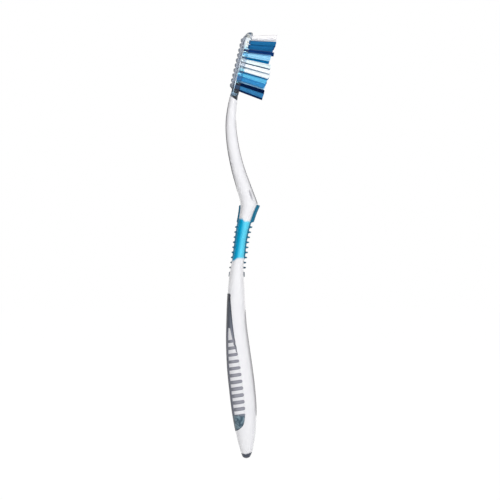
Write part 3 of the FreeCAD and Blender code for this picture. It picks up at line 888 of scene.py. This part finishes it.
ROOT_BOTTOM = COLLAR_FRONT - 1.0
ROOT_ROWS = 20
ROOT_COLUMNS = 64


def root_skin(share_along, share_across):
    z = ROOT_BOTTOM + share_along * (ROOT_HEIGHT + RUN_IN - ROOT_BOTTOM)
    return skin(z, 2 * math.pi * share_across)


root = mapped_grid(ROOT_ROWS, ROOT_COLUMNS, root_skin)
weld(root)
close_ends(root)
cut_at_collar(root, keep_below=False)
join(plate, root)

# A painted glow in the colours of the tufts' roots behind it. Each stop is a share of the head's length and
# its glow
PAINTED_ROOT_GLOW = (
    (0.00, (120, 134, 142)),
    (0.10, (120, 204, 232)),
    (0.40, (116, 210, 240)),
    (0.48, (196, 204, 220)),
    (0.56, (196, 208, 226)),
    (0.62, (154, 212, 240)),
    (0.72, (166, 224, 246)),
    (0.80, (236, 246, 252)),
    (1.00, (226, 232, 240)),
)
# Where the painted root glow and the painted shade change: behind the face, then up the head
TUFT_ROOTS_SPAN = (-2.9, -1.6)
NECK_SHADE_SPAN = (-1.0, 1.0)
HEEL_SHADE_SPAN = (3.5, 8.5)
TIP_SHADE_SPAN = (26.2, 29.8)
HAZE_PER_METRE = 300.0
RIPPLES_PER_METRE = 520.0
RIPPLE_HEIGHT = 0.02
HEAD_GLOSS = (0.05, 0.14)
VOXEL_SIZE = 0.135

# The smoky plastic also carries a painted glow from the tufts' roots, and painted shade at its root and tip
clear_plastic, tree, principled = new_material("clear_plastic")
back_turn = Matrix.Rotation(-HEAD_TILT, 4, "Y")
heel_at_zero = {
    "Vector": object_place(tree),
    "Location": -(back_turn @ FACE_FRAME.translation) * MM,
    "Rotation": (0, -HEAD_TILT, 0),
}
axes = axes_of(tree, add(tree, "ShaderNodeMapping", heel_at_zero).outputs["Vector"])
head_share = add(tree, "ShaderNodeMapRange", {"Value": axes["Z"], "From Max": HEAD_LENGTH * MM})
painted_root_glow_ramp = add(tree, "ShaderNodeValToRGB", {"Fac": head_share.outputs["Result"]})
painted_root_glow_ramp.color_ramp.interpolation = "EASE"
stops = painted_root_glow_ramp.color_ramp.elements
for stop, (position, colour) in zip(stops[:], (PAINTED_ROOT_GLOW[0], PAINTED_ROOT_GLOW[-1])):
    stop.position = position
    stop.color = srgb(*colour)
for position, colour in PAINTED_ROOT_GLOW[1:-1]:
    stops.new(position).color = srgb(*colour)
haze = noise(tree, HAZE_PER_METRE, 2.0)
smoke_and_painted_light = blend(tree, remap(tree, haze, 0.35, 0.65), srgb(206, 213, 222), srgb(226, 231, 238))
smoke_and_painted_light = blend(tree, fade(tree, axes["X"], TUFT_ROOTS_SPAN), smoke_and_painted_light, painted_root_glow_ramp.outputs["Color"])
heel = blend(tree, fade(tree, axes["Z"], NECK_SHADE_SPAN), srgb(36, 48, 56), srgb(78, 100, 116))
smoke_and_painted_light = blend(tree, fade(tree, axes["Z"], HEEL_SHADE_SPAN), heel, smoke_and_painted_light)
smoke_and_painted_light = blend(tree, fade(tree, axes["Z"], TIP_SHADE_SPAN), smoke_and_painted_light, srgb(126, 136, 150))
ripple = noise(tree, RIPPLES_PER_METRE, 2.0)
relief = {"Strength": 1.0, "Distance": RIPPLE_HEIGHT * MM, "Height": ripple}
feed(tree, principled, {
    "Base Color": smoke_and_painted_light,
    "Normal": add(tree, "ShaderNodeBump", relief).outputs["Normal"],
    "Roughness": remap(tree, haze, 0.3, 0.7, *HEAD_GLOSS),
    "Transmission Weight": 1.0,
    "IOR": 1.49,
})
head = piece("clear_head_plate", plate, clear_plastic, "clear_head")
fused = head.modifiers.new("fused", "REMESH")
fused.mode = "VOXEL"
fused.voxel_size = VOXEL_SIZE * MM
fused.use_smooth_shade = True
polished = head.modifiers.new("polished", "SMOOTH")
polished.factor = 0.5
polished.iterations = 14


# The tongue cleaner. A soft grey pad let into the back of the head, with ten rows of short
# rounded ridges. It is moulded on through the clear plate.
CLEANER_SPAN = (3.5, 27.9)
CLEANER_INSET = 0.35
CLEANER_CORNER = 2.2
CLEANER_SINK = 0.1
CLEANER_THICKNESS = 0.75
CLEANER_SIDE_DROP = 0.9
CLEANER_SIDE_WIDTH = 0.14
CLEANER_EDGE_ROUND = 0.4
# The pad thins towards the tip, where the plate's back is rounded off
CLEANER_TIP_DROP = 0.75
CLEANER_TIP_SPAN = (24.5, 28.5)
CLEANER_WALL = 0.3
CLEANER_ROWS = 200
CLEANER_COLUMNS = 96
RIDGE_TOP_MARGIN = 2.6
RIDGE_PITCH = 2.28
RIDGE_ROWS = 10
RIDGE_SPACING = 2.7
RIDGE_HALF_LENGTH = 1.1
RIDGE_HALF_BASE = 0.8
RIDGE_HEIGHT = 0.7
RIDGE_ROUND_POWER = 0.6


def cleaner_skin(share_along, share_across):
    low, high = CLEANER_SPAN
    z = low + share_along * (high - low)
    from_end = min(z - low, high - z)
    half = head_half_width(z) - CLEANER_INSET - rolled_edge(from_end, CLEANER_CORNER)
    y = (2 * share_across - 1) * half
    edge = min(half - abs(y), from_end)
    highest = high - RIDGE_TOP_MARGIN
    row = min(max(round((highest - z) / RIDGE_PITCH), 0), RIDGE_ROWS - 1)
    column = min(max(round(y / RIDGE_SPACING), -1), 1)
    off_z = abs(z - highest + row * RIDGE_PITCH) / RIDGE_HALF_BASE
    off_y = max(abs(y - column * RIDGE_SPACING) / RIDGE_HALF_LENGTH - 0.5, 0.0) * 2
    ridge = max(1 - off_z ** 2 - off_y ** 2, 0.0) ** RIDGE_ROUND_POWER
    side_drop = CLEANER_SIDE_DROP * (1 - soft_step(edge, 0.0, CLEANER_SIDE_WIDTH))
    lift = CLEANER_THICKNESS - side_drop - rolled_edge(edge, CLEANER_EDGE_ROUND) + RIDGE_HEIGHT * ridge
    lift -= CLEANER_TIP_DROP * soft_step(z, *CLEANER_TIP_SPAN) ** 2
    return FACE_FRAME @ Vector((-PLATE_THICKNESS - lift + CLEANER_SINK, y, z)), ridge


def cleaner_colour(tree):
    return blend(tree, remap(tree, mask(tree, "ridge"), 0.0, 0.8), srgb(190, 197, 208), srgb(156, 165, 178))


cleaner_rubber = moulded(
    "cleaner_rubber",
    cleaner_colour,
    mottle_colour=srgb(170, 180, 194),
    mottle=0.3,
    grain=(0.15, 0.004),
    gloss=(0.3, 0.45),
    shader={"IOR": 1.43, "Transmission Weight": 0.35, "Subsurface Weight": 0.2,
            "Subsurface Radius": (0.001, 0.001, 0.001)},
)
cleaner = mapped_grid(CLEANER_ROWS, CLEANER_COLUMNS, cleaner_skin, "ridge")
face_outwards(cleaner, -1)
bmesh.ops.solidify(cleaner, geom=cleaner.faces[:], thickness=CLEANER_WALL)
piece("tongue_cleaner_pad", cleaner, cleaner_rubber, "tongue_cleaner")


# The tufts. Each is a few dozen round nylon filaments, folded in half round a flat wire and
# punched into a hole of the plate. Every row has its own length, lean and dye, and its ends are
# trimmed level or on a slant.
BRISTLE_LENGTH = 11.5
FILAMENT_RADIUS = 0.115
FILAMENT_TIP_SHARE = 0.9
FILAMENT_SIDES = 5
FILAMENT_PITCH = 0.215
FILAMENT_ROW_PITCH = FILAMENT_PITCH * 0.866
FILAMENT_SHAKE = 0.035
# How much a tuft is drawn in at its foot, and how much it flares at its end across and along
FOOT_SHARE = 0.86
FLARE_ACROSS_SHARE = 1.2
FLARE_ALONG_SHARE = 1.14
TUFT_POWER = 2.6
TUFT_HALF_WIDTH = 0.76
HOLE_DEPTH = 2.4
# The last rows and the tip tuft stand in shallow holes, because the plate's back rounds off there
SHALLOW_DEPTH = 0.9
SHALLOW_ROWS = 2
# The nylon's faint glow in its own colour is painted light that stands in for light passing through it
PAINTED_GLOW_STRENGTH = 0.18
DARK_DYE_SHARE = 0.88
STREAKS_PER_METRE = 900.0
TUFT_ROW_START = 4.1
TUFT_ROW_PITCH = 2.06
OUTER_TUFT_RIM = 1.8
INNER_COLUMN_SHARE = 0.34
# Slot, lean in degrees and slope of the trim. Then the outer tufts and the inner tufts, each
# with its length share, shift along the head, half height and dye
TUFT_ROWS = (
    ("bristle_mid_blue", -6.5, 0.0, (0.93, 0.3, 0.82, (60, 134, 186)), (0.93, -0.63, 0.50, (6, 40, 90))),
    ("bristle_navy", -4.6, 0.0, (0.94, -0.2, 0.62, (0, 26, 70)), (0.94, -1.03, 0.84, (50, 126, 182))),
    ("bristle_light_blue", -3.7, 0.35,
     (0.90, 0.0, 0.94, (60, 148, 206)), (0.90, -1.03, 0.84, (176, 224, 250))),
    ("bristle_light_blue", -3.1, 0.35,
     (0.925, -0.2, 0.74, (106, 202, 240)), (0.925, -1.03, 0.84, (44, 132, 196))),
    ("bristle_white", -2.4, 0.5, (0.985, 0.1, 0.70, (248, 254, 255)), (0.945, -1.03, 0.84, (40, 122, 172))),
    ("bristle_white", -1.6, 0.0,
     (0.974, 0.15, 0.66, (248, 253, 255)), (0.974, -1.03, 0.84, (170, 190, 206))),
    ("bristle_white", 0.2, 0.0, (0.94, 0.05, 0.72, (240, 253, 255)), (0.94, -1.03, 0.84, (28, 84, 122))),
    ("bristle_light_blue", 3.6, 0.1,
     (0.85, 0.6, 0.82, (166, 226, 255)), (0.85, -1.03, 0.84, (4, 122, 178))),
    ("bristle_navy", 6.6, 0.0, (0.963, 0.65, 0.44, (14, 58, 120)), (0.87, -1.03, 0.84, (150, 214, 246))),
    ("bristle_deep_blue", 8.3, 0.25,
     (0.89, 0.4, 0.94, (30, 108, 162)), (0.89, -1.03, 0.84, (100, 136, 190))),
    ("bristle_deep_blue", 9.9, 0.25,
     (0.94, 0.35, 0.92, (34, 114, 166)), (0.94, -1.03, 0.84, (10, 66, 130))),
)
TIP_TUFT_PLACE = 27.4
TIP_TUFT_HALF_SIZES = (2.7, 1.15)
TIP_TUFT_LEAN = 13.4
TIP_TUFT_LENGTH_SHARE = 0.948
TIP_TUFT_DYE = (255, 254, 255)
dice = random.Random(7)


def bristle_material(name, outer, inner):
    """Dyed nylon with a painted glow. Each filament has its own tone, and inner tufts can have their own
    dye.
    """
    material, tree, principled = new_material(name)
    column = mask(tree, "inner")
    dye = blend(tree, column, srgb(*outer), srgb(*inner))
    dark_outer = srgb(*[c * DARK_DYE_SHARE for c in outer])
    dark_inner = srgb(*[c * DARK_DYE_SHARE for c in inner])
    dark = blend(tree, column, dark_outer, dark_inner)
    streaks = remap(tree, noise(tree, STREAKS_PER_METRE, 1.0), 0.3, 0.7, -0.25, 0.25)
    tone = add(tree, "ShaderNodeMath", {0: mask(tree, "tone"), 1: streaks}, operation="ADD")
    colour = blend(tree, tone.outputs["Value"], dark, dye)
    feed(tree, principled, {
        "Base Color": colour,
        "Emission Color": colour,
        "Emission Strength": PAINTED_GLOW_STRENGTH,
        "Roughness": 0.5,
        "IOR": 1.5,
        "Specular IOR Level": 0.08,
    })
    return material


def filament(bm, layers, foot, end, tone, inner):
    """One filament between two points, a little narrower at its end."""
    line = end - foot
    spot = Matrix.Translation((foot + end) / 2) @ line.to_track_quat("Z", "Y").to_matrix().to_4x4()
    made = bmesh.ops.create_cone(
        bm,
        cap_ends=True,
        segments=FILAMENT_SIDES,
        radius1=FILAMENT_RADIUS,
        radius2=FILAMENT_RADIUS * FILAMENT_TIP_SHARE,
        depth=line.length,
        matrix=spot,
    )
    for v in made["verts"]:
        v[layers[0]] = tone
        v[layers[1]] = inner


def tuft(bm, layers, spot, half_sizes, lean_degrees, length, slope, root_depth, inner):
    """Fills a rounded block with filaments that flare from the hole to the trimmed end."""
    lean = math.radians(lean_degrees)
    direction = Vector((math.cos(lean), 0, math.sin(lean)))
    half_width, half_height = half_sizes
    rows = int(2 * half_height / FILAMENT_ROW_PITCH) + 1
    for row in range(rows):
        z = (row - (rows - 1) / 2) * FILAMENT_ROW_PITCH
        reach = half_width * max(1 - abs(z / half_height) ** TUFT_POWER, 0.0) ** (1 / TUFT_POWER)
        count = int(2 * reach / FILAMENT_PITCH) + 1
        for k in range(count):
            y = (k - (count - 1) / 2) * FILAMENT_PITCH
            across, lift, trim = (dice.uniform(-FILAMENT_SHAKE, FILAMENT_SHAKE) for _ in range(3))
            foot_height = spot[1] + z * FOOT_SHARE - root_depth * math.tan(lean) + 1.5 * lift
            foot = Vector((-root_depth, spot[0] + y * FOOT_SHARE, foot_height))
            end_height = spot[1] + z * FLARE_ALONG_SHARE + 3 * lift
            end = Vector((0, spot[0] + y * FLARE_ACROSS_SHARE + across, end_height))
            trimmed = length * math.cos(lean) + slope * z + 3 * trim
            end += direction * (trimmed / direction.x)
            filament(bm, layers, FACE_FRAME @ foot, FACE_FRAME @ end, dice.random(), inner)


def new_tufts():
    bm = bmesh.new()
    return bm, (bm.verts.layers.float.new("tone"), bm.verts.layers.float.new("inner"))


for k, (slot, lean, slope, outer, inner) in enumerate(TUFT_ROWS):
    row_height = TUFT_ROW_START + k * TUFT_ROW_PITCH
    outer_place = head_half_width(row_height + outer[1]) - OUTER_TUFT_RIM
    root_depth = SHALLOW_DEPTH if k >= len(TUFT_ROWS) - SHALLOW_ROWS else HOLE_DEPTH
    bm, layers = new_tufts()
    for side in (-1, 1):
        for column, (share, shift, half, _) in enumerate((outer, inner)):
            aside = side * outer_place * (INNER_COLUMN_SHARE if column else 1)
            spot = (aside, row_height + shift)
            half_sizes = (TUFT_HALF_WIDTH, half)
            length = share * BRISTLE_LENGTH
            tuft(bm, layers, spot, half_sizes, lean, length, slope, root_depth, column)
    name = "tuft_row_%02d" % (k + 1)
    dyed = bristle_material(name + "_nylon", outer[3], inner[3])
    piece(name + "_bristles", bm, dyed, name, sharp_degrees=80)

bm, layers = new_tufts()
length = TIP_TUFT_LENGTH_SHARE * BRISTLE_LENGTH
spot = (0, TIP_TUFT_PLACE)
tuft(bm, layers, spot, TIP_TUFT_HALF_SIZES, TIP_TUFT_LEAN, length, 0.0, SHALLOW_DEPTH, 0)
dyed = bristle_material("tip_tuft_nylon", TIP_TUFT_DYE, TIP_TUFT_DYE)
piece("tip_tuft_bristles", bm, dyed, "tip_tuft", sharp_degrees=80)


# The anchors. Short pieces of flat brass wire, one across the foot of every tuft, kept as the
# frame has them. They show through the clear plate as faint glints.
DRAWN_MARKS_PER_METRE = 2500.0
WIRE_GLOSS = (0.2, 0.45)
brass, tree, principled = new_material("anchor_brass")
drawn = noise(tree, DRAWN_MARKS_PER_METRE, 2.0)
feed(tree, principled, {
    "Base Color": blend(tree, drawn, srgb(190, 184, 168), srgb(216, 211, 198)),
    "Roughness": remap(tree, drawn, 0.3, 0.7, *WIRE_GLOSS),
    "Metallic": 1.0,
})
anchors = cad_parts["tuft_anchors"]
anchors.data.materials.clear()
anchors.data.materials.append(brass)


# The studio. A pale floor and backdrop, two soft lamps in front and one behind, and the camera
# square to the brush's side. Dark boards that only reflections, soft light or the clear plastic
# can see draw the white handle's edges and the shade in the head's root. Lengths are metres.
CAMERA_DISTANCE = 1.2
VIEW_CENTRE = (0.00166, 0.0927)
VIEW_SIZE = 0.2226
SENSOR = 36.0
scene = bpy.context.scene
camera_data = bpy.data.cameras.new("camera")
camera_data.sensor_width = SENSOR
camera_data.lens = SENSOR * CAMERA_DISTANCE / VIEW_SIZE
camera = bpy.data.objects.new("camera", camera_data)
camera.location = (VIEW_CENTRE[0], -CAMERA_DISTANCE, VIEW_CENTRE[1])
camera.rotation_euler = (math.pi / 2, 0, 0)
scene.collection.objects.link(camera)
scene.camera = camera
scene.view_settings.view_transform = "Standard"


def seen_rays(tree):
    """1 for rays that the camera sees straight, in a gloss or through clear plastic."""
    rays = add(tree, "ShaderNodeLightPath").outputs
    seen = rays["Is Camera Ray"]
    for kind in ("Is Glossy Ray", "Is Transmission Ray"):
        seen = add(tree, "ShaderNodeMath", {0: seen, 1: rays[kind]}, operation="MAXIMUM").outputs["Value"]
    return seen


AMBIENT = 0.33
AMBIENT_TINT = (0.97, 0.96, 1.0, 1)
PURE_WHITE = (1, 1, 1, 1)
world = bpy.data.worlds.new("studio")
world.use_nodes = True
scene.world = world
tree = world.node_tree
seen = seen_rays(tree)
strength = add(tree, "ShaderNodeMapRange", {"Value": seen, "To Min": AMBIENT, "To Max": 1.0})
tint = blend(tree, seen, AMBIENT_TINT, PURE_WHITE)
feed(tree, tree.nodes["Background"], {"Color": tint, "Strength": strength.outputs["Result"]})

FLOOR_SIZE = (6, 6)
FLOOR_DROP = 0.0004
FLOOR_GREY = (0.82, 0.82, 0.82, 1)
# How much of the floor's look is plain white when it is seen, and how bright that white is
FLOOR_WHITE_SHARE = 0.94
FLOOR_WHITE = 1.045
floor_paint, tree, principled = new_material("floor_paint")
feed(tree, principled, {"Base Color": FLOOR_GREY, "Roughness": 0.9})
glow = add(tree, "ShaderNodeEmission", {"Strength": FLOOR_WHITE, "Color": PURE_WHITE})
share = add(tree, "ShaderNodeMapRange", {"Value": seen_rays(tree), "To Max": FLOOR_WHITE_SHARE})
paints = {0: share.outputs["Result"], 1: principled.outputs["BSDF"], 2: glow.outputs["Emission"]}
mixed = add(tree, "ShaderNodeMixShader", paints)
feed(tree, tree.nodes["Material Output"], {"Surface": mixed.outputs["Shader"]})


def sheet(name, size, spot, turn, material):
    """A flat rectangle that belongs to the studio and not to the brush."""
    bm = bmesh.new()
    bmesh.ops.create_grid(bm, x_segments=1, y_segments=1, size=1 / 2)
    bmesh.ops.scale(bm, vec=(*size, 1), verts=bm.verts)
    mesh = bpy.data.meshes.new(name)
    bm.to_mesh(mesh)
    bm.free()
    mesh.materials.append(material)
    made = bpy.data.objects.new(name, mesh)
    made.location = spot
    made.rotation_euler = turn
    scene.collection.objects.link(made)
    return made


sheet("floor", FLOOR_SIZE, (0, 0, -FLOOR_DROP), (0, 0, 0), floor_paint)

board_paint, tree, principled = new_material("board_paint")
feed(tree, principled, {"Base Color": (0.02, 0.02, 0.02, 1), "Specular IOR Level": 0.0})
# Name, width and height, middle, quarter turns about Z, and the one kind of ray that sees it
BOARDS = (
    ("neck_flag", (0.024, 0.050), (-0.030, 0.0, 0.141), 1, "diffuse"),
    ("neck_board", (0.0655, 0.048), (-0.0372, 0.030, 0.1415), 0, "glossy"),
    ("crest_board", (0.0440, 0.040), (0.0180, 0.030, 0.1320), 0, "glossy"),
    ("palm_board", (0.0600, 0.049), (0.0370, 0.030, 0.0415), 0, "glossy"),
    ("root_spot_board", (0.0028, 0.0030), (-0.0060, 0.007, 0.1610), 0, "transmission"),
    ("root_back_board", (0.020, 0.040), (-0.014, 0.025, 0.160), 1, "transmission"),
    ("root_front_board", (0.020, 0.040), (0.006, 0.025, 0.156), 1, "transmission"),
)
for name, size, spot, quarter_turns, seen_in in BOARDS:
    board = sheet(name, size, spot, (math.pi / 2, 0, quarter_turns * math.pi / 2), board_paint)
    board.visible_camera = False
    board.visible_shadow = False
    board.visible_diffuse = seen_in == "diffuse"
    board.visible_glossy = seen_in == "glossy"
    board.visible_transmission = seen_in == "transmission"

LAMP_TARGET = Vector((0, 0, 0.1))
# Name, place, width and power in watts
LAMPS = (
    ("key", (0.25, -1.05, 0.16), 0.7, 9.8),
    ("fill", (-0.35, -1.0, 0.20), 0.6, 0.7),
    ("back", (0.25, 0.9, 0.75), 0.8, 5.0),
)
for name, spot, size, power in LAMPS:
    lamp_data = bpy.data.lights.new(name, "AREA")
    lamp_data.shape = "SQUARE"
    lamp_data.size = size
    lamp_data.energy = power
    lamp = bpy.data.objects.new(name, lamp_data)
    lamp.location = spot
    lamp.rotation_euler = (LAMP_TARGET - Vector(spot)).to_track_quat("-Z", "Y").to_euler()
    lamp.visible_glossy = False
    scene.collection.objects.link(lamp)
